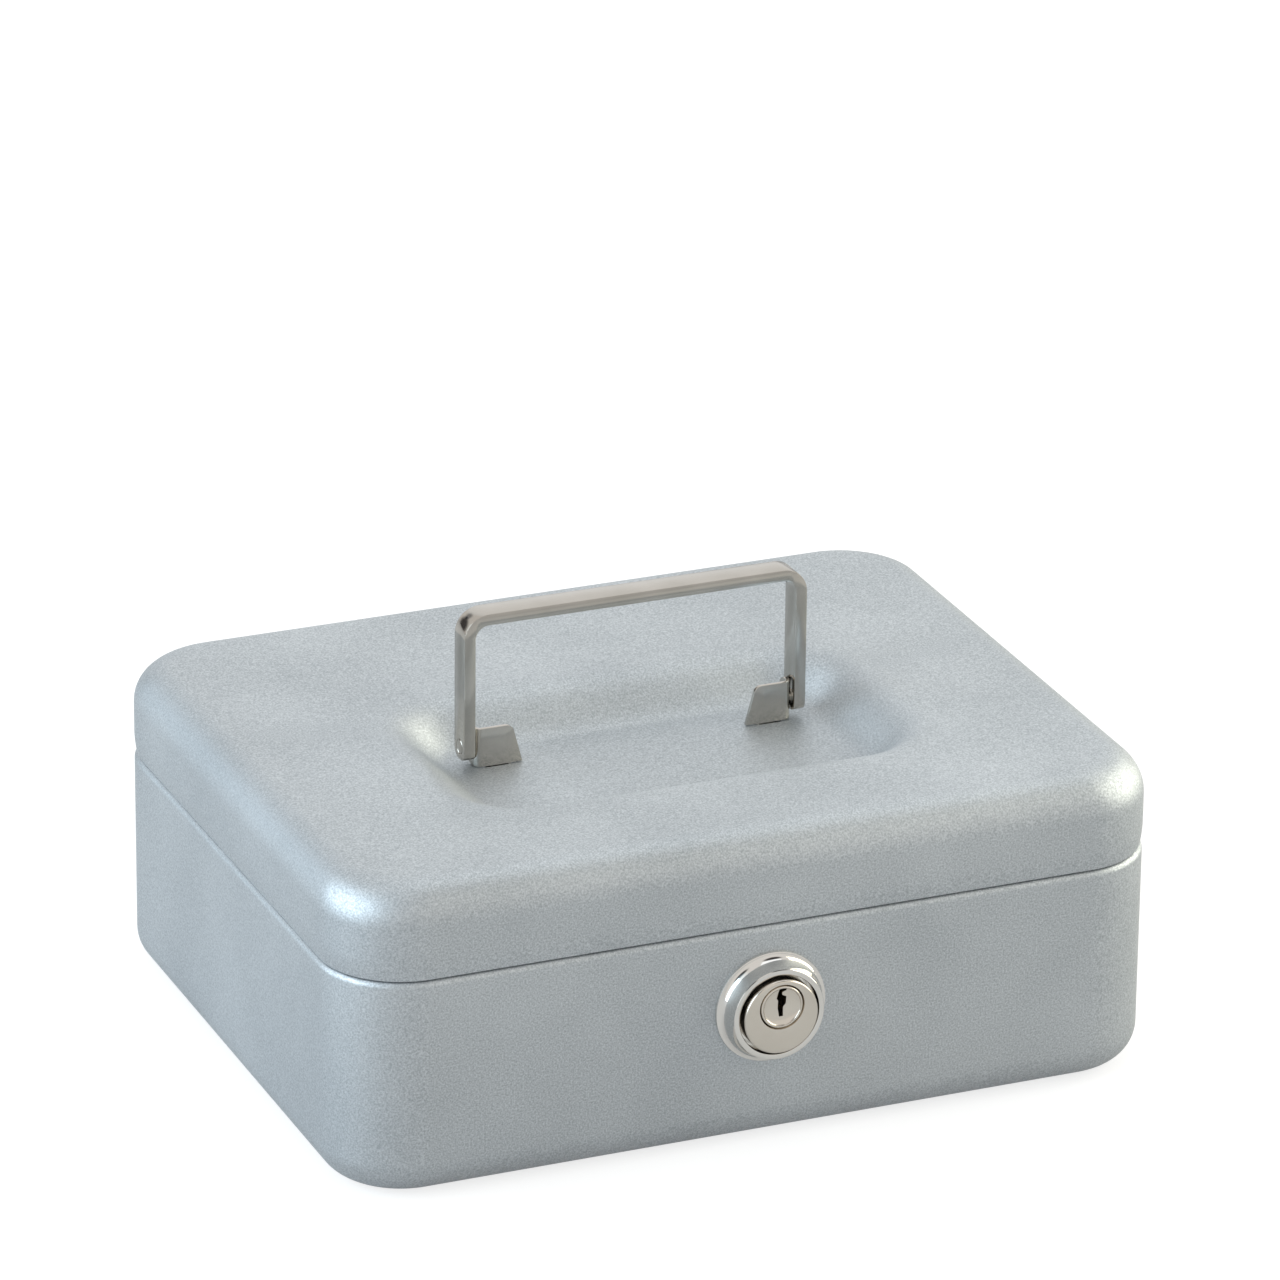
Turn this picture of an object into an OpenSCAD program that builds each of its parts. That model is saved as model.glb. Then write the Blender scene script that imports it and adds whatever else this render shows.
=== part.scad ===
// Lockable steel cash box: a deep-drawn base and hinged lid, a strap handle that folds
// forward into a recess of the lid, a cylinder lock in the front wall and a coin tray.
// +Z is up, the lock faces -Y, and the origin is the middle of the bottom face.
// The lock stands unlocked, so the lid is free to open.

/* [Box] */
// Overall width, left to right
box_w = 255; // [225:1:330]
// Overall depth of the shells, front to back
box_d = 201; // [185:1:260]
// Height of the lid's top face
box_h = 96; // [92:1:120]
// Height of the lid's lower edge
seam_z = 68.3; // [64:0.1:72]
// Plan radius of the upright corners
corner_r = 25; // [20:1:32]
// Radius of the bottom edge
base_edge_r = 11; // [6:0.5:16]
// Radius of the lid's top edge
lid_edge_r = 11.5; // [7:0.5:14]
// Thickness of the steel sheet
sheet = 1; // [0.8:0.1:1.2]
// How far the base's rim is set in under the lid
shoulder_in = 2; // [1.8:0.1:2.6]
// Height of the rim above the lid's lower edge
rim_rise = 8; // [6:0.5:9]
// Height of the hem folded inwards along the rim
hem_h = 5; // [3:0.5:6]
// Gap between the lid's lower edge and the shoulder
seam_gap = 0.3; // [0.2:0.1:0.8]

/* [Recess in the lid] */
// Width of the recess at its rim
recess_w = 137; // [130:1:150]
// How far the rim reaches in front of the box's middle
recess_front = 57.5; // [55:0.5:66]
// How far the rim reaches behind the box's middle
recess_back = 28; // [24:0.5:40]
// Depth of the recess
recess_depth = 11.5; // [10:0.5:12.5]
// Plan radius of the recess's rim
recess_corner_r = 25; // [20:1:30]
// Width of the front slope
slope_front = 14; // [10:0.5:15]
// Width of the back slope
slope_back = 18; // [12:0.5:20]
// Width of the slopes at both ends
slope_end = 12; // [10:0.5:12.5]

/* [Handle] */
// Outer width of the handle
handle_w = 108.4; // [100:0.2:110]
// Height of the handle's top above its pivot
handle_rise = 42; // [38:0.5:44]
// Width of the strip
strip_w = 8; // [6:0.5:9]
// Thickness of the strip
strip_t = 3.4; // [2.6:0.2:4]
// Outer radius of the handle's bends
bend_r = 7.6; // [5:0.2:12]
// Place of the pivot behind the box's middle
pivot_y = 1.75; // [0:0.25:4]
// Height of the pivot above the recess's floor
pivot_rise = 6.5; // [5.5:0.25:7.5]
// Radius of the pivot pins
pivot_r = 1.9; // [1.4:0.1:2]
// Radius of a pivot's riveted end
pivot_head_r = 2.4; // [2.2:0.1:2.8]
// Thickness of the bracket plates
bracket_t = 1.2; // [1:0.1:1.4]
// How far a bracket's front tab reaches in from the handle's leg
bracket_reach = 15.2; // [12:0.2:18]
// Height of a bracket above the recess's floor
bracket_h = 12.2; // [10.5:0.1:13]
// How far the front tab stands behind the handle's front face
bracket_back = 1; // [0.6:0.1:1.2]
// Width of the tongue that passes through the recess's floor
tongue_w = 6.6; // [5:0.2:8]

/* [Lock] */
// Place of the lock to the right of the middle
lock_x = 0.8; // [-5:0.1:5]
// Height of the lock's centre
lock_z = 43; // [38:0.5:46]
// Radius of the rosette's flange
rosette_r = 17; // [16:0.5:20]
// Radius of the rosette's front rim
rosette_rim_r = 14; // [13.5:0.1:15]
// How far the rosette stands out of the wall
rosette_rise = 7; // [5:0.5:8]
// Radius of the housing's head
head_r = 11.4; // [11:0.1:12]
// How far the housing's face stands out of the wall
face_rise = 9; // [8:0.5:11]
// Radius of the housing's body behind the head
body_r = 10.4; // [10:0.1:10.6]
// How far the housing reaches in behind the wall's outer face
lock_depth = 18; // [17:0.5:21]
// Radius of the plug
plug_r = 6.6; // [6.2:0.1:6.8]
// Height of the plug's axis above the lock's centre
plug_up = 3.2; // [3:0.1:3.6]
// Radius of the tumbler pins
tumbler_r = 1.4; // [1.2:0.05:1.5]
// Distance between neighbouring tumbler pins
tumbler_pitch = 3.4; // [3.2:0.1:3.6]
// Number of tumbler pins
tumblers = 5; // [3:1:5]
// Reach of the cam from the plug's axis
cam_reach = 24; // [22:0.5:25]
// Width of the cam
cam_w = 10; // [9:0.5:11]
// Thickness of the cam
cam_t = 1.6; // [1.2:0.1:2]
// Thickness of the strike plate
strike_t = 1.5; // [1.2:0.1:2]
// Width of the strike plate
strike_w = 13; // [10:0.5:15]
// Thickness of the nut
nut_t = 3; // [2.5:0.5:4]
// Radius of the nut across its corners
nut_r = 14.5; // [13:0.5:15]

/* [Hinges] */
// Distance of each hinge from the middle
hinge_x = 70; // [50:1:78]
// Length of a hinge
hinge_w = 32; // [24:1:40]
// Outer radius of the knuckles
knuckle_r = 2.4; // [2.1:0.1:2.6]
// Radius of the hinge pins
hinge_pin_r = 1; // [0.8:0.1:1.1]
// Thickness of the leaves
leaf_t = 1; // [0.8:0.1:1.2]
// Height of the leaves above and below the pin
leaf_h = 14; // [11:0.5:15]

/* [Coin tray] */
// Depth of the coin cups below the tray's top
cup_depth = 27; // [24:1:32]
// Radius along the bottom of the coin cups
cup_r = 18; // [12:1:22]
// Depth of the flat pockets below the tray's top
pocket_depth = 22; // [15:1:26]
// Thickness of the tray's walls
tray_wall = 1.5; // [1.2:0.1:2]
// Thickness of the tray's flange
flange_t = 1.6; // [1.2:0.1:2]
// Number of coin cups
coin_cups = 5; // [4:1:6]
// Place of the wall between cups and pockets, behind the middle
cups_front_y = -10; // [-20:1:10]
// How far the tray's top stands below the base's shoulder
tray_drop = 1; // [1:0.5:4]
// Finger room between the tray's flange and the base's rim
tray_room = 3; // [2:0.5:5]
// Plan radius of the tray's corners
tray_corner_r = 32; // [28:1:36]
// Width of the ledges that carry the tray
ledge_w = 10; // [9:0.5:13]
// Length of the ledges
ledge_l = 110; // [80:5:120]

/* [Fits] */
// Radial clearance of what turns in a bore
running = 0.05; // [0.03:0.01:0.1]
// Gap beside what lies still or slides
gap = 0.3; // [0.2:0.05:0.4]
// Radial clearance of what passes through the sheet
pass_gap = 0.25; // [0.1:0.05:0.4]

/* [Hidden] */
$fn = 96;
over = 1; // how far a cutting shape runs past what it cuts

silver_paint = [0.74, 0.77, 0.79];
nickel = [0.72, 0.69, 0.64];
zinc = [0.66, 0.67, 0.68];
brass = [0.80, 0.66, 0.36];
black_plastic = [0.08, 0.08, 0.09];

// Heights and planes that several pieces share
half_w = box_w / 2;
half_d = box_d / 2;
shoulder_z = seam_z - seam_gap;
rim_top = seam_z + rim_rise;
lid_under_z = box_h - sheet;
recess_z = box_h - recess_depth;
rim_in = shoulder_in + 2 * sheet;
pivot_z = recess_z + pivot_rise;
hinge_y = half_d - sheet - leaf_t + knuckle_r;
hinge_z = shoulder_z;
pin_head_t = 0.6;

// ---------- Points and sweeps ----------

function arc(centre, r, from, to, steps = 8) =
    [for (i = [0:steps]) let (a = from + (to - from) * i / steps)
        [centre[0] + r * cos(a), centre[1] + r * sin(a)]];

// A rectangle with round corners, anticlockwise from the right-hand side
function round_rectangle(x0, x1, y0, y1, r, steps = 8) = concat(
    arc([x1 - r, y1 - r], r, 0, 90, steps), arc([x0 + r, y1 - r], r, 90, 180, steps),
    arc([x0 + r, y0 + r], r, 180, 270, steps), arc([x1 - r, y0 + r], r, 270, 360, steps));

// Carries a wall profile round a rectangle with round corners. Each point of the profile is
// [distance in from the outer face, height], and the profile ends at the corners' axis.
module carry_round(profile, w, d, r) {
    corner_profile = [for (p = profile) [r - p[0], p[1]]];
    for (q = [0:3]) {
        x = (q == 0 || q == 3) ? w / 2 - r : r - w / 2;
        y = q < 2 ? d / 2 - r : r - d / 2;
        translate([x, y, 0]) rotate([0, 0, 90 * q]) rotate_extrude(angle = 90) polygon(corner_profile);
    }
    for (side = [0:3]) {
        reach = (side % 2 == 0 ? w : d) / 2;
        run = (side % 2 == 0 ? d : w) - 2 * r;
        rotate([90, 0, 90 * side])
            linear_extrude(run, center = true) polygon([for (p = profile) [reach - p[0], p[1]]]);
    }
}

// ---------- Shells ----------

base_profile = concat(
    [[corner_r, 0]],
    arc([base_edge_r, base_edge_r], base_edge_r, 270, 180, 10),
    arc([shoulder_in, shoulder_z - shoulder_in], shoulder_in, 180, 90, 6),
    arc([shoulder_in + sheet, rim_top - sheet], sheet, 180, 0, 8),
    [[rim_in, rim_top - hem_h], [shoulder_in + sheet, rim_top - hem_h]],
    [[shoulder_in + sheet, shoulder_z - sheet]],
    arc([shoulder_in, shoulder_z - shoulder_in], shoulder_in - sheet, 90, 180, 6),
    arc([base_edge_r, base_edge_r], base_edge_r - sheet, 180, 270, 10),
    [[corner_r, sheet]]);

lid_lip_r = 0.6;
lid_profile = concat(
    [[sheet, seam_z]],
    arc([lid_lip_r, seam_z + lid_lip_r], lid_lip_r, 270, 180, 4),
    arc([lid_edge_r, box_h - lid_edge_r], lid_edge_r, 180, 90, 10),
    [[corner_r, box_h], [corner_r, lid_under_z]],
    arc([lid_edge_r, box_h - lid_edge_r], lid_edge_r - sheet, 90, 180, 10));

// Plan of the hinge cut-outs in the rear walls
hinge_cut_w = hinge_w + 2 * (pin_head_t + gap);
hinge_cut_in = rim_in + over;

module hinge_cuts(z0, z1) {
    for (side = [-1, 1])
        translate([side * hinge_x - hinge_cut_w / 2, half_d - hinge_cut_in, z0])
            cube([hinge_cut_w, hinge_cut_in + over, z1 - z0]);
}

module base_shell() {
    color(silver_paint)
    difference() {
        union() {
            carry_round(base_profile, box_w, box_d, corner_r);
            translate([-half_w + corner_r, -half_d + corner_r, 0])
                cube([box_w - 2 * corner_r, box_d - 2 * corner_r, sheet]);
        }
        at_lock() translate([0, 0, -sheet - over]) cylinder(r = body_r + pass_gap, h = sheet + 2 * over);
        hinge_cuts(hinge_z - knuckle_r - gap, rim_top + over);
    }
}

// Mean width of the slopes
slope_mean = (slope_front + slope_back + 2 * slope_end) / 4;
recess_rings = 10;
recess_corner_steps = 10;
floor_corner_r = recess_corner_r - slope_mean;

function recess_ring(part) = round_rectangle(
    -recess_w / 2 + slope_end * part, recess_w / 2 - slope_end * part,
    -recess_front + slope_front * part, recess_back - slope_back * part,
    recess_corner_r + (floor_corner_r - recess_corner_r) * part, recess_corner_steps);

// The slope rolls over at the rim and runs out at the floor, as half a cosine wave
function recess_fall(part) = recess_depth * (1 - cos(180 * part)) / 2;
function recess_angle(part) = atan2(recess_depth * PI / 2 * sin(180 * part), slope_mean);

function at_height(points, z) = [for (p = points) [p[0], p[1], z]];

upper_rings = [for (i = [0:recess_rings]) let (part = i / recess_rings)
    at_height(recess_ring(part), box_h - recess_fall(part))];
lower_rings = [for (i = [0:recess_rings]) let (part = i / recess_rings, tilt = recess_angle(part))
    at_height(recess_ring(part - sheet * sin(tilt) / slope_mean),
        box_h - recess_fall(part) - sheet * cos(tilt))];

// A closed skin through rings of equal count, from the first upper ring down the slope,
// across the floor, back up the underside and closed at the rim
module recess_dish() {
    rings = concat(upper_rings, [for (i = [recess_rings:-1:0]) lower_rings[i]]);
    count = len(rings[0]);
    last = recess_rings;
    strips = [for (k = [0:len(rings) - 1]) if (k != last) each
        let (a = k * count, b = ((k + 1) % len(rings)) * count)
        [for (i = [0:count - 1]) let (j = (i + 1) % count) each [
            [a + i, b + i, b + j], [a + i, b + j, a + j]]]];
    caps = [[for (i = [0:count - 1]) last * count + count - 1 - i],
        [for (i = [0:count - 1]) (last + 1) * count + i]];
    polyhedron([for (r = rings) each r], concat(strips, caps), convexity = 4);
}

module lid_shell() {
    color(silver_paint)
    difference() {
        union() {
            carry_round(lid_profile, box_w, box_d, corner_r);
            translate([0, 0, lid_under_z]) linear_extrude(sheet) difference() {
                square([box_w - 2 * corner_r, box_d - 2 * corner_r], center = true);
                polygon(recess_ring(0));
            }
            recess_dish();
        }
        for (side = [-1, 1])
            translate([side * tongue_x - tongue_w / 2 - gap, bracket_y - gap, recess_z - sheet - over])
                cube([tongue_w + 2 * gap, bracket_t + 2 * gap, sheet + 2 * over]);
        hinge_cuts(seam_z - over, hinge_z + knuckle_r + gap);
    }
}

// ---------- Handle ----------

leg_out = handle_w / 2;
leg_in = leg_out - strip_t;
lug_out = leg_in - gap;
lug_in = lug_out - bracket_t;
bracket_y = pivot_y - strip_w / 2 + bracket_back;
tab_in = leg_in - bracket_reach;
tongue_x = (tab_in + lug_in) / 2;
leg_end_r = 3;

// Right-hand and left-hand pieces are mirror images
module sided(side) {
    if (side > 0) children();
    else mirror([1, 0, 0]) children();
}

module at_pivot(x) {
    translate([x, pivot_y, pivot_z]) rotate([0, 90, 0]) children();
}

// Half outline of the bent strip, seen from the front
module bail_outline() {
    top = handle_rise;
    foot = -strip_w / 2;
    inner_r = bend_r - strip_t;
    polygon(concat(
        [[leg_out, foot]], arc([leg_out - bend_r, top - bend_r], bend_r, 0, 90, 12),
        arc([bend_r - leg_out, top - bend_r], bend_r, 90, 180, 12), [[-leg_out, foot], [-leg_in, foot]],
        arc([bend_r - leg_out, top - bend_r], inner_r, 180, 90, 12),
        arc([leg_out - bend_r, top - bend_r], inner_r, 90, 0, 12), [[leg_in, foot]]));
}

module handle_bail() {
    color(nickel)
    difference() {
        intersection() {
            translate([0, pivot_y + strip_w / 2, pivot_z]) rotate([90, 0, 0])
                linear_extrude(strip_w) bail_outline();
            translate([-leg_out - over, pivot_y, pivot_z]) rotate([90, 0, 90])
                linear_extrude(handle_w + 2 * over)
                polygon(round_rectangle(-strip_w / 2, strip_w / 2, -strip_w / 2,
                    handle_rise + leg_end_r + over, leg_end_r));
        }
        for (side = [-1, 1]) sided(side) {
            at_pivot(leg_in - over) cylinder(r = pivot_r + running, h = strip_t + 2 * over);
            at_pivot(leg_out - (pivot_head_r - pivot_r))
                cylinder(r1 = pivot_r + running, r2 = pivot_head_r + running, h = pivot_head_r - pivot_r);
        }
    }
}

// A pin riveted over in the countersink of the handle's leg
module handle_pivot(side) {
    flare = pivot_head_r - pivot_r;
    color(nickel)
    sided(side) {
        at_pivot(lug_in) cylinder(r = pivot_r, h = leg_out - lug_in - flare);
        at_pivot(leg_out - flare) cylinder(r1 = pivot_r, r2 = pivot_head_r, h = flare);
    }
}

// A plate bent round one upright corner: the lug takes the pivot, the front tab's tongue
// passes through the recess's floor and is folded back under it
module handle_bracket(side) {
    foot_z = recess_z + gap;
    top_z = recess_z + bracket_h;
    lug_back = pivot_y + strip_w / 2;
    bend_out = 2 * bracket_t;
    bend_in = bend_out - bracket_t;
    bend_at = [lug_out - bend_out, bracket_y + bend_out];
    slant = 2.6;
    tab_r = 2.5;
    tab_turn = 165;
    lug_r = 3.5;
    tongue_foot = 5;
    color(nickel)
    sided(side) difference() {
        union() {
            intersection() {
                translate([0, 0, foot_z]) linear_extrude(top_z - foot_z) polygon(concat(
                    [[tab_in, bracket_y + bracket_t], [tab_in, bracket_y]],
                    arc(bend_at, bend_out, 270, 360), [[lug_out, lug_back], [lug_in, lug_back]],
                    arc(bend_at, bend_in, 360, 270)));
                union() {
                    translate([0, bend_at[1], 0]) rotate([90, 0, 0])
                        linear_extrude(bend_at[1] - bracket_y + over) polygon(concat(
                        [[lug_out + over, foot_z], [lug_out + over, top_z]],
                        arc([tab_in + slant + tab_r, top_z - tab_r], tab_r, 90, tab_turn),
                        [[tab_in, foot_z]]));
                    translate([bend_at[0], 0, 0]) rotate([90, 0, 90])
                        linear_extrude(bend_out + over) polygon(concat(
                        [[bracket_y - over, top_z], [bracket_y - over, foot_z]],
                        arc([lug_back - lug_r, foot_z + lug_r], lug_r, 270, 360),
                        arc([lug_back - lug_r, top_z - lug_r], lug_r, 0, 90)));
                }
            }
            translate([tongue_x - tongue_w / 2, bracket_y, recess_z - sheet - bracket_t])
                cube([tongue_w, bracket_t, foot_z + over - recess_z + sheet + bracket_t]);
            translate([tongue_x - tongue_w / 2, bracket_y, recess_z - sheet - bracket_t])
                cube([tongue_w, tongue_foot, bracket_t]);
        }
        at_pivot(lug_in - over) cylinder(r = pivot_r + running, h = bracket_t + 2 * over);
    }
}

// ---------- Lock ----------

// Places of the lock's pieces: x to the right, y up, z out of the front wall
module at_lock() {
    translate([lock_x, -half_d, lock_z]) rotate([90, 0, 0]) children();
}

rosette_edge = 1.2;
rosette_seat = 2.5;
rosette_groove = 0.9;
rosette_lip_r = head_r + rosette_groove;
rim_chamfer = 0.3;
rim_swell = 0.2;
head_bevel = 0.8;
plug_bore_r = plug_r + running;
tumbler_bore_r = tumbler_r + running;
first_tumbler = 8.5;
keyway_low = 3.3;
cover_side = 0.3;
cover_t = 1.3;
cover_w = 2 * (tumbler_r + cover_side);
cover_top = -body_r + cover_t;
driver_h = 3.2;
shear_gap = 0.1;
driver_top = plug_up - plug_r - shear_gap;
tail_r = 4;
tail_flat = 3;
tail_gap = 0.2;
screw_r = 1.6;
screw_h = 7;
screw_end_gap = 1;
screw_head_r = 4.2;
screw_head_h = 1.8;

function tumbler_place(i) = face_rise - first_tumbler - i * tumbler_pitch;

module rosette_profile() {
    fall = rosette_rise - rosette_edge;
    flare = rosette_r - rosette_rim_r;
    polygon(concat(
        [[body_r + pass_gap, 0], [rosette_r, 0], [rosette_r, rosette_edge / 2]],
        [for (i = [0:10]) let (a = 9 * i)
            [rosette_r - rim_chamfer - (flare - rim_chamfer) * sin(a), rosette_edge + fall * (1 - cos(a))]],
        [[rosette_rim_r - rim_chamfer, rosette_rise + rim_swell],
            [rosette_lip_r + rim_chamfer, rosette_rise + rim_swell]],
        [[rosette_lip_r, rosette_rise], [rosette_lip_r, rosette_seat], [body_r + pass_gap, rosette_seat]]));
}

module lock_rosette() {
    color(nickel) at_lock() rotate_extrude() rosette_profile();
}

module lock_housing() {
    color(nickel)
    at_lock() difference() {
        rotate_extrude() polygon([[0, -lock_depth], [body_r, -lock_depth], [body_r, rosette_seat],
            [head_r, rosette_seat], [head_r, face_rise - head_bevel], [head_r - head_bevel, face_rise],
            [0, face_rise]]);
        translate([0, plug_up, -lock_depth - over])
            cylinder(r = plug_bore_r, h = lock_depth + face_rise + 2 * over);
        for (i = [0:tumblers - 1])
            translate([0, plug_up - plug_r / 2, tumbler_place(i)]) rotate([90, 0, 0])
                cylinder(r = tumbler_bore_r, h = body_r + plug_up);
        translate([-cover_w / 2 - running, -body_r - over, -lock_depth - over])
            cube([cover_w + 2 * running, cover_top + body_r + over, lock_depth + rosette_seat + over]);
    }
}

module lock_nut() {
    color(zinc)
    at_lock() translate([0, 0, -sheet - nut_t]) difference() {
        cylinder(r = nut_r, h = nut_t, $fn = 6);
        translate([0, 0, -over]) cylinder(r = body_r + pass_gap / 2, h = nut_t + 2 * over);
    }
}

// Stepped slot for the key, seen from the front
module keyway_profile() {
    polygon([[-0.7, 5.7], [1.4, 5.7], [1.5, 4.9], [0.3, 4.3], [0.4, 3.4], [1.7, 2.7], [1.6, 0.5],
        [0.8, -0.5], [0.7, -keyway_low], [-0.5, -keyway_low], [-0.9, -0.6], [-0.8, 1.6], [-1.3, 2.4]]);
}

module lock_plug() {
    plug_edge = 0.7;
    plug_chamfer = 0.2;
    dish_r = plug_r - plug_edge;
    dish_in_r = 2.6;
    dish_h = 0.8;
    body_h = face_rise + lock_depth + tail_gap;
    color(nickel)
    at_lock() translate([0, plug_up, 0]) difference() {
        union() {
            translate([0, 0, face_rise - body_h]) rotate_extrude() polygon([[0, 0], [plug_r, 0],
                [plug_r, body_h - plug_chamfer], [plug_r - plug_chamfer, body_h], [dish_r, body_h],
                [dish_in_r, body_h - dish_h], [0, body_h - dish_h]]);
            translate([0, 0, face_rise - body_h - cam_t + running]) intersection() {
                cylinder(r = tail_r, h = cam_t);
                translate([-tail_flat, -tail_r, 0]) cube([2 * tail_flat, 2 * tail_r, cam_t]);
            }
        }
        translate([0, 0, tumbler_place(tumblers - 1) - tumbler_r])
            linear_extrude(face_rise + over - tumbler_place(tumblers - 1) + tumbler_r) keyway_profile();
        for (i = [0:tumblers - 1])
            translate([0, -keyway_low + 1, tumbler_place(i)]) rotate([90, 0, 0])
                cylinder(r = tumbler_bore_r, h = plug_r);
        translate([0, 0, -lock_depth - tail_gap - cam_t - over])
            cylinder(r = screw_r + running, h = screw_h + over);
    }
}

// Key pins that stand with their flat ends at the plug's surface, as with the right key in
module key_pins() {
    low = -sqrt(plug_r * plug_r - tumbler_r * tumbler_r) + running;
    tip = 0.6;
    color(brass)
    at_lock() for (i = [0:tumblers - 1])
        translate([0, plug_up + low, tumbler_place(i)]) rotate([-90, 0, 0]) {
            cylinder(r = tumbler_r, h = -low - keyway_low);
            translate([0, 0, -low - keyway_low]) cylinder(r1 = tumbler_r, r2 = tumbler_r / 2, h = tip);
        }
}

module driver_pins() {
    color(brass)
    at_lock() for (i = [0:tumblers - 1])
        translate([0, driver_top, tumbler_place(i)]) rotate([90, 0, 0])
            cylinder(r = tumbler_r, h = driver_h);
}

// Each spring fills the chamber between its driver and the cover
module pin_springs() {
    wire = 0.4;
    color(zinc)
    at_lock() for (i = [0:tumblers - 1])
        translate([0, driver_top - driver_h, tumbler_place(i)]) rotate([90, 0, 0])
            difference() {
                cylinder(r = tumbler_r, h = driver_top - driver_h - cover_top);
                translate([0, 0, -over])
                    cylinder(r = tumbler_r - wire, h = driver_top - driver_h - cover_top + 2 * over);
            }
}

module chamber_cover() {
    low = -sqrt(body_r * body_r - cover_w * cover_w / 4);
    color(brass)
    at_lock() translate([-cover_w / 2, low, -lock_depth])
        cube([cover_w, cover_top - low, lock_depth + rosette_seat]);
}

// The cam stands upright while the lock is open, and lies over the strike's ledge when it is locked
module lock_cam() {
    color(zinc)
    at_lock() translate([0, plug_up, -lock_depth - tail_gap - cam_t]) linear_extrude(cam_t)
        difference() {
            polygon(concat(arc([0, 0], cam_w / 2, 180, 360, 16),
                arc([0, cam_reach - cam_w / 2], cam_w / 2, 0, 180, 16)));
            intersection() {
                circle(r = tail_r + running);
                square([2 * (tail_flat + running), 3 * tail_r], center = true);
            }
        }
}

module cam_screw() {
    color(zinc)
    at_lock() translate([0, plug_up, -lock_depth - tail_gap - cam_t]) {
        translate([0, 0, -screw_head_h]) cylinder(r = screw_head_r, h = screw_head_h);
        cylinder(r = screw_r, h = screw_h - screw_end_gap);
    }
}

// ---------- Strike ----------

strike_clear = 3.6;
strike_x = lock_x + body_r + strike_clear;
strike_y = -half_d + lid_edge_r;
strike_ledge_z = lock_z + plug_up - cam_w / 2 - gap;
ledge_past_cam = 1.5;
strike_ledge_y = -half_d + lock_depth + tail_gap + cam_t + ledge_past_cam;

// A strap under the lid's top, bent to a ledge that lies under the locked cam
module strike_plate() {
    color(zinc)
    translate([strike_x, 0, 0]) rotate([90, 0, 90]) linear_extrude(strike_w) polygon([
        [strike_y, lid_under_z], [strike_ledge_y, lid_under_z], [strike_ledge_y, lid_under_z - strike_t],
        [strike_y + strike_t, lid_under_z - strike_t], [strike_y + strike_t, strike_ledge_z],
        [strike_ledge_y, strike_ledge_z], [strike_ledge_y, strike_ledge_z - strike_t],
        [strike_y, strike_ledge_z - strike_t]]);
}

// ---------- Hinges ----------

knuckle_w = (hinge_w - 2 * gap) / 3;
knuckle_inner = hinge_w / 2 - knuckle_w;
pin_head_out = 0.6;
pin_head_r = hinge_pin_r + pin_head_out;
// The lid's leaves end where its rear wall starts to bend over
lid_leaf_top = min(hinge_z + leaf_h, box_h - lid_edge_r);

module at_hinge(side, x) {
    translate([side * hinge_x + x, hinge_y, hinge_z]) rotate([0, 90, 0]) children();
}

// Plate of a leaf against the inner face of a rear wall
module leaf_plate(x0, x1, z0, z1) {
    translate([x0, half_d - sheet - leaf_t, z0]) cube([x1 - x0, leaf_t, z1 - z0]);
}

// The base's leaf has the two outer knuckles
module base_hinge_leaf(side) {
    x = side * hinge_x;
    clear = knuckle_r + gap;
    color(zinc)
    difference() {
        union() {
            leaf_plate(x - hinge_w / 2, x + hinge_w / 2, hinge_z - leaf_h, hinge_z - clear);
            for (end = [-1, 1]) {
                near = end < 0 ? -hinge_w / 2 : hinge_w / 2 - knuckle_w;
                leaf_plate(x + near, x + near + knuckle_w, hinge_z - clear - over, hinge_z);
                at_hinge(side, near) cylinder(r = knuckle_r, h = knuckle_w);
            }
        }
        at_hinge(side, -hinge_w) cylinder(r = hinge_pin_r + running, h = 2 * hinge_w);
    }
}

// The lid's leaf has the middle knuckle
module lid_hinge_leaf(side) {
    x = side * hinge_x;
    clear = knuckle_r + gap;
    half = knuckle_inner - gap;
    color(zinc)
    difference() {
        union() {
            leaf_plate(x - hinge_w / 2, x + hinge_w / 2, hinge_z + clear, lid_leaf_top);
            leaf_plate(x - half, x + half, hinge_z, hinge_z + clear + over);
            at_hinge(side, -half) cylinder(r = knuckle_r, h = 2 * half);
        }
        at_hinge(side, -hinge_w) cylinder(r = hinge_pin_r + running, h = 2 * hinge_w);
    }
}

module hinge_pin(side) {
    color(zinc) {
        at_hinge(side, -hinge_w / 2) cylinder(r = hinge_pin_r, h = hinge_w);
        for (end = [-hinge_w / 2 - pin_head_t, hinge_w / 2])
            at_hinge(side, end) cylinder(r = pin_head_r, h = pin_head_t);
    }
}

// ---------- Coin tray ----------

tray_top = shoulder_z - tray_drop;
tray_z = tray_top - flange_t;
flange_in = rim_in + tray_room;
ledge_z = tray_z - gap;
ledge_h = 9;
ledge_t = 1;
tray_in = sheet + ledge_w + gap + tray_wall;
notch_beside_nut = 2;
notch_clear = 3;
notch_x0 = lock_x - nut_r - notch_beside_nut;
notch_x1 = strike_x + strike_w + notch_clear;
notch_y = strike_ledge_y + notch_clear;
inside_w = box_w - 2 * tray_in;
inside_y = half_d - tray_in;
cup_w = (inside_w - (coin_cups - 1) * tray_wall) / coin_cups;
pockets_back_y = cups_front_y - tray_wall;

// An angle along a side wall, on which the tray's flange lies
module tray_ledge(side) {
    wall_x = half_w - sheet;
    bend = 2 * ledge_t;
    color(zinc)
    sided(side) translate([0, ledge_l / 2, 0]) rotate([90, 0, 0]) linear_extrude(ledge_l)
        polygon(concat([[wall_x, ledge_z - ledge_h]], arc([wall_x - bend, ledge_z - bend], bend, 0, 90),
            [[wall_x - ledge_w, ledge_z], [wall_x - ledge_w, ledge_z - ledge_t]],
            arc([wall_x - bend, ledge_z - bend], bend - ledge_t, 90, 0),
            [[wall_x - ledge_t, ledge_z - ledge_h]]));
}

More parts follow.
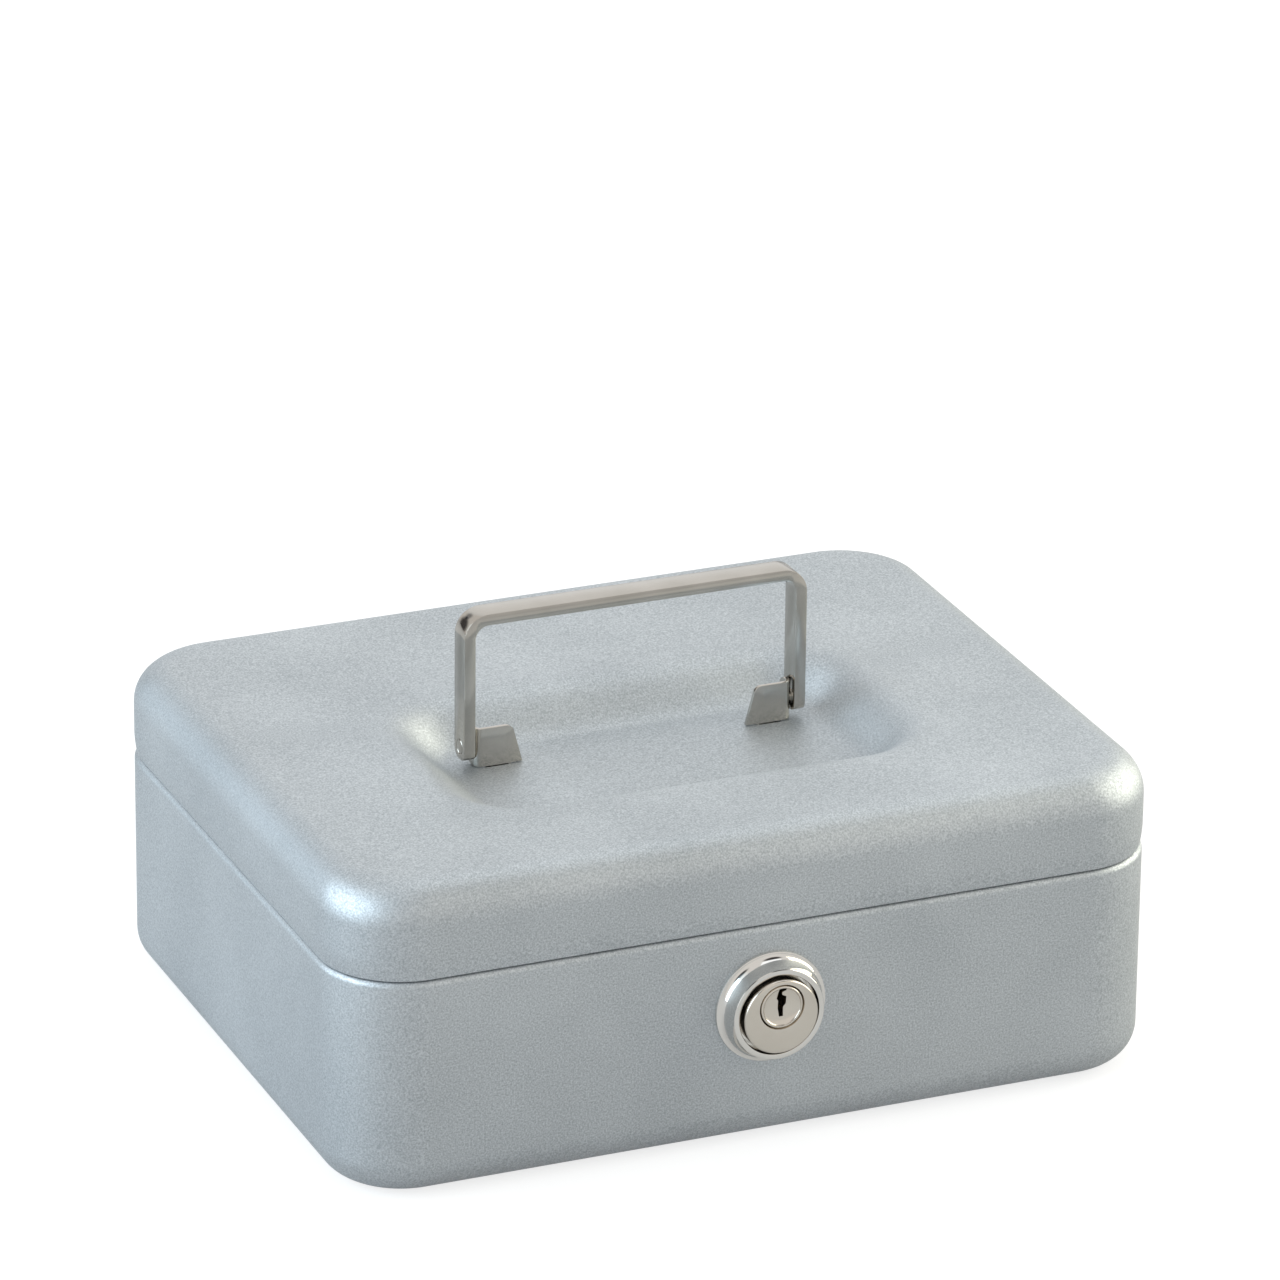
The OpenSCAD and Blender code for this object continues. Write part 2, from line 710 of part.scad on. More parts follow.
// A coin cup with a round bottom, grown by a wall on every side but the top
module coin_cup(i, grow) {
    half = cup_w / 2;
    r = min(cup_r, half);
    x = -inside_w / 2 + half + i * (cup_w + tray_wall);
    low = tray_top - cup_depth + r;
    top = tray_top + (grow > 0 ? 0 : over);
    translate([x, inside_y + grow, 0]) rotate([90, 0, 0])
        linear_extrude(inside_y - cups_front_y + 2 * grow)
        polygon(concat(arc([r - half, low], r + grow, 180, 270, 10), arc([half - r, low], r + grow, 270, 360, 10),
            [[half + grow, top], [-half - grow, top]]));
}

module flat_pocket(x0, x1, y0, grow) {
    r = 5;
    depth = pocket_depth + grow;
    translate([0, 0, tray_top - depth]) linear_extrude(depth + (grow > 0 ? 0 : over))
        polygon(round_rectangle(x0 - grow, x1 + grow, y0 - grow, pockets_back_y + grow, r + grow, 6));
}

// The hollows of the tray, kept inside its round corners
module tray_hollows(grow, cups) {
    side_x = inside_w / 2;
    intersection() {
        union() {
            if (cups) for (i = [0:coin_cups - 1]) coin_cup(i, grow);
            flat_pocket(-side_x, notch_x0 - tray_wall, -inside_y, grow);
            flat_pocket(notch_x0, notch_x1, notch_y + tray_wall, grow);
            flat_pocket(notch_x1 + tray_wall, side_x, -inside_y, grow);
        }
        translate([0, 0, tray_top - cup_depth - over]) linear_extrude(cup_depth + 3 * over)
            polygon(round_rectangle(-side_x - grow, side_x + grow, -inside_y - grow, inside_y + grow,
                tray_corner_r + flange_in - tray_in + grow));
    }
}

// The part of the moulded tray that lies between two places in x and two in y
module tray_part(x0, x1, y0, y1, cups = false) {
    flange_x = half_w - flange_in;
    flange_y = half_d - flange_in;
    foot_z = tray_top - cup_depth - 2 * over;
    color(black_plastic)
    intersection() {
        difference() {
            union() {
                translate([0, 0, tray_z]) linear_extrude(flange_t)
                    polygon(round_rectangle(-flange_x, flange_x, -flange_y, flange_y, tray_corner_r));
                tray_hollows(tray_wall, cups);
            }
            tray_hollows(0, cups);
        }
        translate([x0, y0, foot_z]) cube([x1 - x0, y1 - y0, cup_depth + 3 * over]);
    }
}

module coin_tray() {
    tray_part(-half_w, half_w, pockets_back_y, half_d, cups = true);
}

module tray_pocket_left() {
    tray_part(-half_w, notch_x0, -half_d, pockets_back_y);
}

// Set back behind the lock
module tray_pocket_middle() {
    tray_part(notch_x0, notch_x1, notch_y, pockets_back_y);
}

module tray_pocket_right() {
    tray_part(notch_x1, half_w, -half_d, pockets_back_y);
}

base_shell();
lid_shell();
handle_bail();
handle_bracket(-1);  // handle_bracket_left
handle_bracket(1);  // handle_bracket_right
handle_pivot(-1);  // handle_pivot_left
handle_pivot(1);  // handle_pivot_right
lock_rosette();
lock_housing();
lock_nut();
lock_plug();
key_pins();
driver_pins();
pin_springs();
chamber_cover();
lock_cam();
cam_screw();
strike_plate();
base_hinge_leaf(-1);  // base_hinge_leaf_left
base_hinge_leaf(1);  // base_hinge_leaf_right
lid_hinge_leaf(-1);  // lid_hinge_leaf_left
lid_hinge_leaf(1);  // lid_hinge_leaf_right
hinge_pin(-1);  // hinge_pin_left
hinge_pin(1);  // hinge_pin_right
tray_ledge(-1);  // tray_ledge_left
tray_ledge(1);  // tray_ledge_right
coin_tray();
tray_pocket_left();
tray_pocket_middle();
tray_pocket_right();
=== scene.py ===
import math
import bpy
import bmesh
from mathutils import Vector, Matrix


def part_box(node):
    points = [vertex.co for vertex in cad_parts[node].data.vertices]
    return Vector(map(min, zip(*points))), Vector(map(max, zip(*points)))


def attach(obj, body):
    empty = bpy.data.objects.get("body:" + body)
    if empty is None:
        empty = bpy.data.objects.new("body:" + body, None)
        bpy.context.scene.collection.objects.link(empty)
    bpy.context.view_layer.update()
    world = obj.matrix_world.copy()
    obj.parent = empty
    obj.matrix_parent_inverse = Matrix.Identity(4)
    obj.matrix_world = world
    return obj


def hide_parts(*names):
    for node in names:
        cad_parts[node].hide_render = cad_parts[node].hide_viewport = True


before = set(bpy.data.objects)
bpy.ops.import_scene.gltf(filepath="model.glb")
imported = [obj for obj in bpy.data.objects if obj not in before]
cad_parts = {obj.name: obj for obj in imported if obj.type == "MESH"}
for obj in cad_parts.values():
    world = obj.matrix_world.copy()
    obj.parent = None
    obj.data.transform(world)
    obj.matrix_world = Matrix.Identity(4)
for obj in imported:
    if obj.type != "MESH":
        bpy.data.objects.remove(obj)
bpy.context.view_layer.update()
mm = 0.001
print("frame loaded:", len(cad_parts), "nodes")

scene = bpy.context.scene
scene.view_settings.view_transform = "Standard"

# what the whole box shares, in millimetres
box = {"width": 255, "depth": 201, "height": 96, "seam": 68.3, "cornerRadius": 25, "sheet": 1}
beyond = 1  # how far a cutter reaches past what it cuts

# the camera stands where the photograph was taken from
view = {"azimuth": -22.918, "elevation": 22.571, "roll": 0.629, "distance": 2349.5,
        "target": (1.864, 0, 116.834), "focalPixels": 8020.5, "imagePixels": 1280, "sensor": 36}


def placeCamera():
    az, el, roll = [math.radians(view[k]) for k in ("azimuth", "elevation", "roll")]
    back = Vector((math.sin(az) * math.cos(el), -math.cos(az) * math.cos(el), math.sin(el)))
    right = Vector((0, 0, 1)).cross(back).normalized()
    up = back.cross(right)
    turned = Matrix((math.cos(roll) * right + math.sin(roll) * up,
                     math.cos(roll) * up - math.sin(roll) * right, back)).transposed()
    data = bpy.data.cameras.new("camera")
    data.sensor_width = view["sensor"]
    data.lens = view["focalPixels"] / view["imagePixels"] * view["sensor"]
    data.clip_start, data.clip_end = 0.1, 50
    camera = bpy.data.objects.new("camera", data)
    scene.collection.objects.link(camera)
    place = (Vector(view["target"]) + back * view["distance"]) * mm
    camera.matrix_world = Matrix.Translation(place) @ turned.to_4x4()
    scene.camera = camera


placeCamera()
print("camera placed")


# a socket takes another node's output or a plain value
def feed(tree, socket, value):
    if isinstance(value, bpy.types.NodeSocket):
        tree.links.new(value, socket)
    else:
        socket.default_value = value


def addNode(tree, kind, inputs=None, **settings):
    node = tree.nodes.new("ShaderNode" + kind)
    for key, value in settings.items():
        setattr(node, key, value)
    for key, value in (inputs or {}).items():
        feed(tree, node.inputs[key], value)
    return node


def ramp(tree, source, low, high, outLow, outHigh):
    node = addNode(tree, "MapRange", {"Value": source, "From Min": low, "From Max": high,
                                      "To Min": outLow, "To Max": outHigh}, clamp=True)
    return node.outputs["Result"]


# a Mix node for colours has them in sockets 6 and 7, and the result in output 2
def mixColours(tree, share, first, second):
    return addNode(tree, "Mix", {0: share, 6: first, 7: second}, data_type="RGBA").outputs[2]


# the shader groups take the same inputs, and put out only what changes over the surface
def startGroup(name):
    tree = bpy.data.node_groups.new(name, "ShaderNodeTree")
    for label, kind in (("Vector", "Vector"), ("Scale", "Float"), ("First", "Color"), ("Second", "Color"),
                        ("Rough Low", "Float"), ("Rough High", "Float")):
        tree.interface.new_socket(name=label, in_out="INPUT", socket_type="NodeSocket" + kind)
    for label, kind in (("Color", "Color"), ("Roughness", "Float"), ("Height", "Float")):
        tree.interface.new_socket(name=label, in_out="OUTPUT", socket_type="NodeSocket" + kind)
    return tree, tree.nodes.new("NodeGroupInput").outputs


def endGroup(tree, colour, roughness, height):
    out = tree.nodes.new("NodeGroupOutput")
    for label, value in (("Color", colour), ("Roughness", roughness), ("Height", height)):
        tree.links.new(value, out.inputs[label])
    return tree


# grainy coat: rounded grains, a few of which glint, and a slow drift of tone
grain = {"detail": 3, "roughness": 0.6, "contrast": (0.32, 0.68),
         "driftScale": 22, "driftDetail": 2, "driftRange": (0.3, 0.7), "drift": 0.12}


def makeGrainGroup():
    tree, given = startGroup("coatGrain")
    fine = addNode(tree, "TexNoise", {"Vector": given["Vector"], "Scale": given["Scale"],
                                      "Detail": grain["detail"], "Roughness": grain["roughness"]})
    slow = addNode(tree, "TexNoise", {"Vector": given["Vector"], "Scale": grain["driftScale"],
                                      "Detail": grain["driftDetail"]})
    grains = ramp(tree, fine.outputs["Fac"], *grain["contrast"], 0, 1)
    drift = ramp(tree, slow.outputs["Fac"], *grain["driftRange"], -grain["drift"], grain["drift"])
    share = addNode(tree, "Math", {0: grains, 1: drift}, operation="ADD", use_clamp=True).outputs[0]
    colour = mixColours(tree, share, given["First"], given["Second"])
    roughness = ramp(tree, grains, 0, 1, given["Rough High"], given["Rough Low"])
    return endGroup(tree, colour, roughness, fine.outputs["Fac"])


# plated or rolled metal: fine lines along one axis over a slow clouding
lines = {"stretch": (0.06, 1, 1), "detail": 4, "cloudScale": 60, "cloudDetail": 3, "cloudRange": (0.35, 0.65)}


def makeMetalGroup():
    tree, given = startGroup("metalLines")
    stretch = addNode(tree, "Mapping", {"Vector": given["Vector"], "Scale": lines["stretch"]})
    fine = addNode(tree, "TexNoise", {"Vector": stretch.outputs["Vector"], "Scale": given["Scale"],
                                      "Detail": lines["detail"]})
    cloud = addNode(tree, "TexNoise", {"Vector": given["Vector"], "Scale": lines["cloudScale"],
                                       "Detail": lines["cloudDetail"]})
    share = ramp(tree, cloud.outputs["Fac"], *lines["cloudRange"], 0, 1)
    colour = mixColours(tree, share, given["First"], given["Second"])
    roughness = ramp(tree, fine.outputs["Fac"], 0, 1, given["Rough Low"], given["Rough High"])
    return endGroup(tree, colour, roughness, fine.outputs["Fac"])


groups = {"coatGrain": makeGrainGroup(), "metalLines": makeMetalGroup()}

# a finish for each slot of the record; bump is in millimetres
finishes = {
    "silver_paint": {"group": "coatGrain", "scale": 1900, "metallic": 0.85, "bump": 0.06, "strength": 0.6,
                     "rough": (0.45, 0.60), "first": (0.38, 0.41, 0.435), "second": (0.64, 0.675, 0.70)},
    "nickel_strip": {"group": "metalLines", "scale": 900, "metallic": 1, "bump": 0.004, "strength": 0.2,
                     "rough": (0.09, 0.18), "first": (0.55, 0.52, 0.475), "second": (0.49, 0.465, 0.42)},
    "lock_chrome": {"group": "metalLines", "scale": 700, "metallic": 1, "bump": 0.002, "strength": 0.1,
                    "rough": (0.04, 0.10), "first": (0.80, 0.78, 0.75), "second": (0.76, 0.74, 0.70)},
    "lock_nickel": {"group": "metalLines", "scale": 900, "metallic": 1, "bump": 0.003, "strength": 0.15,
                    "rough": (0.14, 0.26), "first": (0.72, 0.67, 0.60), "second": (0.66, 0.61, 0.54)},
    "zinc": {"group": "metalLines", "scale": 600, "metallic": 1, "bump": 0.006, "strength": 0.3,
             "rough": (0.28, 0.46), "first": (0.60, 0.61, 0.62), "second": (0.46, 0.48, 0.50)},
    "brass": {"group": "metalLines", "scale": 800, "metallic": 1, "bump": 0.004, "strength": 0.2,
              "rough": (0.18, 0.32), "first": (0.78, 0.60, 0.28), "second": (0.66, 0.48, 0.20)},
    "black_plastic": {"group": "coatGrain", "scale": 2400, "metallic": 0, "bump": 0.03, "strength": 0.35,
                      "rough": (0.42, 0.60), "first": (0.022, 0.022, 0.024), "second": (0.04, 0.04, 0.043)},
}


def makeFinish(name):
    given = finishes[name]
    material = bpy.data.materials.new(name)
    material.use_nodes = True
    tree = material.node_tree
    place = addNode(tree, "TexCoord").outputs["Object"]
    group = addNode(tree, "Group", {"Vector": place, "Scale": given["scale"],
                                    "First": (*given["first"], 1), "Second": (*given["second"], 1),
                                    "Rough Low": given["rough"][0], "Rough High": given["rough"][1]},
                    node_tree=groups[given["group"]])
    bump = addNode(tree, "Bump", {"Strength": given["strength"], "Distance": given["bump"] * mm,
                                  "Height": group.outputs["Height"]})
    shader = tree.nodes["Principled BSDF"]
    for label, value in (("Metallic", given["metallic"]), ("Base Color", group.outputs["Color"]),
                         ("Roughness", group.outputs["Roughness"]), ("Normal", bump.outputs["Normal"])):
        feed(tree, shader.inputs[label], value)
    return material


materials = {name: makeFinish(name) for name in finishes}
print("finishes made:", len(materials))

# edges sharper than this many degrees stay sharp; the points of a mesh closer than weld are one, in metres
sharpFrom = {"plain": 35, "sheet": 40, "turned": 30}
weld = 1e-7


def smooth(piece, kind):
    piece.data.shade_smooth()
    piece.data.set_sharp_from_angle(angle=math.radians(sharpFrom[kind]))


def newPiece(name, points, faces):
    mesh = bpy.data.meshes.new(name)
    mesh.from_pydata([Vector(p) * mm for p in points], [], faces)
    mesh.validate()
    piece = bpy.data.objects.new(name, mesh)
    scene.collection.objects.link(piece)
    smooth(piece, "plain")
    return piece


def fixNormals(piece):
    work = bmesh.new()
    work.from_mesh(piece.data)
    bmesh.ops.remove_doubles(work, verts=work.verts, dist=weld)
    bmesh.ops.recalc_face_normals(work, faces=work.faces)
    work.to_mesh(piece.data)
    work.free()


# turns live modifiers into a plain mesh
def settle(piece):
    depsgraph = bpy.context.evaluated_depsgraph_get()
    settled = bpy.data.meshes.new_from_object(piece.evaluated_get(depsgraph), depsgraph=depsgraph)
    piece.modifiers.clear()
    piece.data = settled


def combine(piece, operation, *others):
    for other in others:
        change = piece.modifiers.new("combine", "BOOLEAN")
        change.operation, change.object, change.solver = operation, other, "EXACT"
    settle(piece)
    for other in others:
        bpy.data.objects.remove(other)


def block(x0, x1, y0, y1, z0, z1):
    points = [(x, y, z) for x in (x0, x1) for y in (y0, y1) for z in (z0, z1)]
    faces = [(0, 1, 3, 2), (4, 6, 7, 5), (0, 4, 5, 1), (2, 3, 7, 6), (0, 2, 6, 4), (1, 5, 7, 3)]
    return newPiece("cutter", points, faces)


def arcPoints(cx, cz, r, start, end, steps, rz=None):
    rz = r if rz is None else rz
    angles = [math.radians(start + (end - start) * i / steps) for i in range(steps + 1)]
    return [(cx + r * math.cos(a), cz + rz * math.sin(a)) for a in angles]


# one round of a rectangle with round corners, always with the same number of points
outlineSteps = {"arc": 20, "side": 28}


def roundOutline(x0, x1, y0, y1, r):
    centres = [(x1 - r, y1 - r), (x0 + r, y1 - r), (x0 + r, y0 + r), (x1 - r, y0 + r)]
    out = []
    for q, (cx, cy) in enumerate(centres):
        out += arcPoints(cx, cy, r, 90 * q, 90 * (q + 1), outlineSteps["arc"])
        turn = math.radians(90 * (q + 1))
        nx, ny = centres[(q + 1) % 4]
        start = out[-1]
        end = (nx + r * math.cos(turn), ny + r * math.sin(turn))
        for i in range(1, outlineSteps["side"]):
            t = i / outlineSteps["side"]
            out.append((start[0] + (end[0] - start[0]) * t, start[1] + (end[1] - start[1]) * t))
    return out


# one round of the box, that far in from its walls
def roundOfBox(inset, z, cornerShare=1):
    w, d = box["width"] / 2 - inset, box["depth"] / 2 - inset
    radius = max(box["cornerRadius"] - inset * cornerShare, 0.5)
    return [(x, y, z) for x, y in roundOutline(-w, w, -d, d, radius)]


def joinRings(name, rings, closeFirst, closeLast):
    count = len(rings[0])
    points = [p for ring in rings for p in ring]
    faces = []
    for k in range(len(rings) - 1):
        for i in range(count):
            j = (i + 1) % count
            faces.append((k * count + i, k * count + j, (k + 1) * count + j, (k + 1) * count + i))
    for wanted, k, flip in ((closeFirst, 0, True), (closeLast, len(rings) - 1, False)):
        if wanted:
            ring = rings[k]
            points.append(tuple(sum(p[a] for p in ring) / count for a in range(3)))
            for i in range(count):
                a, b = k * count + i, k * count + (i + 1) % count
                faces.append((b, a, len(points) - 1) if flip else (a, b, len(points) - 1))
    return newPiece(name, points, faces)


def asGiven(x, y, z):
    return (x, y, z)


# turns a closed profile of (radius, height) points, and puts each point where placed says
def turnedPiece(name, profile, steps, placed=asGiven):
    points, faces, rows = [], [], []
    for r, z in profile:
        count = steps if r > 1e-6 else 1
        rows.append([len(points) + i % count for i in range(steps)])
        angles = [2 * math.pi * i / steps for i in range(count)]
        points += [placed(r * math.cos(a), r * math.sin(a), z) for a in angles]
    for a, b in zip(rows, rows[1:] + rows[:1]):
        for i in range(steps):
            j = (i + 1) % steps
            corners = list(dict.fromkeys((a[i], a[j], b[j], b[i])))
            if len(corners) > 2:
                faces.append(corners)
    piece = newPiece(name, points, faces)
    fixNormals(piece)
    return piece


def finishPiece(piece, body, slotName, node):
    piece.data.materials.clear()
    piece.data.materials.append(materials[slotName])
    for polygon in piece.data.polygons:
        polygon.material_index = 0
    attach(piece, body)
    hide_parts(node)


# hinge cut-outs in both rear walls
hinge = {"offset": 70, "cutWidth": 33.8, "cutIn": 5, "knuckle": 2.4, "height": 68, "gap": 0.3}


def hingeCutters(z0, z1):
    back, half = box["depth"] / 2, hinge["cutWidth"] / 2
    middles = (-hinge["offset"], hinge["offset"])
    return [block(x - half, x + half, back - hinge["cutIn"], back + beyond, z0, z1) for x in middles]


# lid: drawn sheet with a rolled-in lower edge and a soft pressed recess
lid = {"edgeIn": 10.6, "edgeDown": 12, "edgeSteps": 18, "cornerShare": 0.59,
       "tuck": 0.7, "tuckHeight": 7, "tuckSteps": 8, "flatSteps": 26,
       "recessWidth": 155, "recessFront": 61, "recessBack": 32, "recessDepth": 11.5, "recessCorner": 28,
       "slopeFront": 17.5, "slopeBack": 22, "slopeEnd": 21, "rimSoftness": 1.25, "slopeSteps": 30,
       "floorSteps": 8, "tongueX": 43.45, "tongueWidth": 7.2,
       "slitFront": -1.55, "slitBack": 0.25, "slitBelow": 3}

# shallow creases that run out from the recess: where each starts and ends, seen from above
creases = {"runs": (((66, 1), (112, 15)), ((-65, 11), (-116, 21))), "depth": 0.4, "width": 4.5,
           "fadeIn": (-0.15, 0.15), "fadeOut": (1.1, 0.6)}


def creaseFall(x, y):
    total = 0
    for (ax, ay), (bx, by) in creases["runs"]:
        dx, dy = bx - ax, by - ay
        t = ((x - ax) * dx + (y - ay) * dy) / (dx * dx + dy * dy)
        aside = abs((x - ax) * dy - (y - ay) * dx) / math.hypot(dx, dy)
        fade = 1
        for start, full in (creases["fadeIn"], creases["fadeOut"]):
            fade *= max(0, min(1, (t - start) / (full - start)))
        total += fade * fade * (3 - 2 * fade) * math.exp(-(aside / creases["width"]) ** 2)
    return creases["depth"] * total


# one round of the recess, that part of the way down its slope
def recessRound(part):
    meanSlope = (lid["slopeFront"] + lid["slopeBack"] + 2 * lid["slopeEnd"]) / 4
    half = lid["recessWidth"] / 2 - lid["slopeEnd"] * part
    return roundOutline(-half, half, -lid["recessFront"] + lid["slopeFront"] * part,
                        lid["recessBack"] - lid["slopeBack"] * part, lid["recessCorner"] - meanSlope * part)


def makeLid():
    top, seam = box["height"], box["seam"]
    rings = []
    for i in range(lid["tuckSteps"] + 1):
        t = i / lid["tuckSteps"]
        rings.append(roundOfBox(lid["tuck"] * (1 - t) ** 2, seam + lid["tuckHeight"] * t))
    edge = arcPoints(lid["edgeIn"], top - lid["edgeDown"], lid["edgeIn"], 180, 90, lid["edgeSteps"],
                     lid["edgeDown"])
    rings += [roundOfBox(inset, z, lid["cornerShare"]) for inset, z in edge]
    outer, rim = rings[-1], recessRound(0)
    for k in range(1, lid["flatSteps"]):
        t = k / lid["flatSteps"]
        flat = [(x0 + (x1 - x0) * t, y0 + (y1 - y0) * t) for (x0, y0, _), (x1, y1) in zip(outer, rim)]
        rings.append([(x, y, top - creaseFall(x, y)) for x, y in flat])
    for k in range(lid["slopeSteps"] + 1):
        part = k / lid["slopeSteps"]
        fall = lid["recessDepth"] * (1 - math.cos(math.pi * part ** lid["rimSoftness"])) / 2
        rings.append([(x, y, top - fall - creaseFall(x, y) * (1 - part)) for x, y in recessRound(part)])
    floorRing, middle = rings[-1], (lid["recessBack"] - lid["recessFront"]) / 2
    for k in range(1, lid["floorSteps"]):
        t = k / lid["floorSteps"]
        rings.append([(x - x * t, y + (middle - y) * t, z) for x, y, z in floorRing])
    piece = joinRings("lid", rings, False, True)
    wall = piece.modifiers.new("sheet", "SOLIDIFY")
    wall.thickness, wall.offset, wall.use_even_offset = box["sheet"] * mm, -1, True
    settle(piece)
    recessFloor, half = top - lid["recessDepth"], lid["tongueWidth"] / 2
    slits = [block(x - half, x + half, lid["slitFront"], lid["slitBack"],
                   recessFloor - lid["slitBelow"], recessFloor + beyond)
             for x in (-lid["tongueX"], lid["tongueX"])]
    hingeCuts = hingeCutters(seam - beyond, hinge["height"] + hinge["knuckle"] + hinge["gap"])
    combine(piece, "DIFFERENCE", *slits, *hingeCuts)
    smooth(piece, "sheet")
    finishPiece(piece, "lid", "silver_paint", "lid_shell")


makeLid()
print("lid made")

# lock: x to the right, y up and z out of the front wall
lock = {"x": 0.8, "z": 43, "seat": 2.5, "head": 11.4, "face": 9, "body": 10.4, "depth": 18,
        "plug": 6.6, "plugUp": 3.2, "steps": 144, "cutterSteps": 96}


def atLock(x, y, z):
    return (lock["x"] + x, -box["depth"] / 2 - z, lock["z"] + y)


def atPlug(x, y, z):
    return atLock(x, y + lock["plugUp"], z)


# base: drawn sheet with a set-in shoulder and a hemmed rim
base = {"edgeRadius": 11, "shoulderIn": 2, "shoulderZ": 68, "rimTop": 76.3, "hem": 5, "lockHole": 10.65,
        "holeReach": 4, "edgeSteps": 16, "wallSteps": 6, "shoulderSteps": 10, "rimSteps": 14,
        "innerShoulderSteps": 8, "innerEdgeSteps": 14}


def makeBase():
    e, s, zs = base["edgeRadius"], base["shoulderIn"], base["shoulderZ"]
    sheet, top = box["sheet"], base["rimTop"]
    outer = arcPoints(e, e, e, 270, 180, base["edgeSteps"])
    outer += [(0, e + (zs - s - e) * k / base["wallSteps"]) for k in range(1, base["wallSteps"])]
    outer += arcPoints(s, zs - s, s, 180, 90, base["shoulderSteps"])
    rim = arcPoints(s + sheet, top - sheet, sheet, 180, 0, base["rimSteps"])
    inner = [(s + 2 * sheet, top - base["hem"]), (s + sheet, top - base["hem"]), (s + sheet, zs - sheet)]
    inner += arcPoints(s, zs - s, s - sheet, 90, 180, base["innerShoulderSteps"])
    inner += arcPoints(e, e, e - sheet, 180, 270, base["innerEdgeSteps"])
    piece = joinRings("base", [roundOfBox(inset, z) for inset, z in outer + rim + inner], True, True)
    hole, reach = base["lockHole"], base["holeReach"]
    holeCutter = turnedPiece("cutter", [(0, -reach), (hole, -reach), (hole, reach), (0, reach)],
                             lock["cutterSteps"], atLock)
    hingeCuts = hingeCutters(hinge["height"] - hinge["knuckle"] - hinge["gap"], top + beyond)
    combine(piece, "DIFFERENCE", holeCutter, *hingeCuts)
    smooth(piece, "sheet")
    finishPiece(piece, "base", "silver_paint", "base_shell")


makeBase()
print("base made")

# ring round the lock: a flange on the wall, a hollow band up to the rim and a lip round the housing;
# each edge is a run of points (inwards, up) from the corner that it rounds off
rosette = {"radius": 17, "rimRadius": 14, "rise": 7, "boreGap": 0.25, "lipGap": 0.9, "flangeTop": 0.9,
           "foot": ((0.1, 0), (0, 0.15)), "shoulder": ((0, 0), (0.08, 0.2)),
           "bandIn": 0.3, "bandFoot": 1.2, "bandSteps": 16,
           "rim": ((0.15, 0.15), (0.35, 0.2)), "lip": ((-0.35, 0.2), (-0.12, 0.12), (0, -0.1))}


def edgePoints(r, z, edge):
    return [(r - inwards, z + up) for inwards, up in edge]


def makeRosette():
    r, rim, rise, seat = rosette["radius"], rosette["rimRadius"], rosette["rise"], lock["seat"]
    bore, lip = lock["body"] + rosette["boreGap"], lock["head"] + rosette["lipGap"]
    bandIn = rosette["bandIn"]
    profile = [(bore, 0)] + edgePoints(r, 0, rosette["foot"])
    profile += edgePoints(r, rosette["flangeTop"], rosette["shoulder"])
    profile += arcPoints(r - bandIn, rise, r - rim - bandIn, -90, -180, rosette["bandSteps"],
                         rise - rosette["bandFoot"])
    profile += edgePoints(rim, rise, rosette["rim"]) + edgePoints(lip, rise, rosette["lip"])
    profile += [(lip, seat), (bore, seat)]
    piece = turnedPiece("lockRosette", profile, lock["steps"], atLock)
    smooth(piece, "turned")
    finishPiece(piece, "base", "lock_chrome", "lock_rosette")


# body with a run of thread grooves behind the nut, the plug's bore and the slot of the pins' cover
housing = {"bevel": 0.8, "bevelSteps": 6, "backBevel": 0.3, "grooves": 12, "pitch": 1, "grooveDepth": 0.45,
           "collarBack": -5.5, "plugGap": 0.05, "mouthWide": 0.3, "mouthDeep": 0.7, "slotWidth": 3.5,
           "slotDepth": 1.3}


def makeHousing():
    body, head, face, depth = lock["body"], lock["head"], lock["face"], lock["depth"]
    seat, bevel, pitch = lock["seat"], housing["bevel"], housing["pitch"]
    profile = [(0, -depth), (body - housing["backBevel"], -depth)]
    for i in range(housing["grooves"]):
        z = -depth + (i + 0.5) * pitch
        profile += [(body, z), (body - housing["grooveDepth"], z + pitch / 2)]
    profile += [(body, housing["collarBack"]), (body, seat), (head, seat)]
    profile += arcPoints(head - bevel, face - bevel, bevel, 0, 90, housing["bevelSteps"]) + [(0, face)]
    piece = turnedPiece("lockHousing", profile, lock["steps"], atLock)
    mouth, near, far = lock["plug"] + housing["plugGap"], -depth - beyond, face + beyond
    wide = mouth + housing["mouthWide"]
    boreProfile = [(0, near), (mouth, near), (mouth, face - housing["mouthDeep"]), (wide, face),
                   (wide, far), (0, far)]
    bore = turnedPiece("cutter", boreProfile, lock["cutterSteps"], atPlug)
    half, wallY, slotZ = housing["slotWidth"] / 2, -box["depth"] / 2, lock["z"] - body
    slot = block(lock["x"] - half, lock["x"] + half, wallY - seat, wallY + depth + beyond,
                 slotZ - beyond, slotZ + housing["slotDepth"])
    combine(piece, "DIFFERENCE", bore, slot)
    smooth(piece, "turned")
    finishPiece(piece, "base", "lock_nickel", "lock_housing")


keyway = [(-0.7, 5.7), (1.4, 5.7), (1.5, 4.9), (0.3, 4.3), (0.4, 3.4), (1.7, 2.7), (1.6, 0.5), (0.8, -0.5),
          (0.7, -3.3), (-0.5, -3.3), (-0.9, -0.6), (-0.8, 1.6), (-1.3, 2.4)]


# an outline on the plug's axis, carried from z0 to z1
def prism(outline, z0, z1):
    n = len(outline)
    points = [atPlug(x, y, z) for z in (z0, z1) for x, y in outline]
    faces = [tuple(range(n)), tuple(range(2 * n - 1, n - 1, -1))]
    faces += [(i, (i + 1) % n, n + (i + 1) % n, n + i) for i in range(n)]
    piece = newPiece("prism", points, faces)
    fixNormals(piece)
    return piece


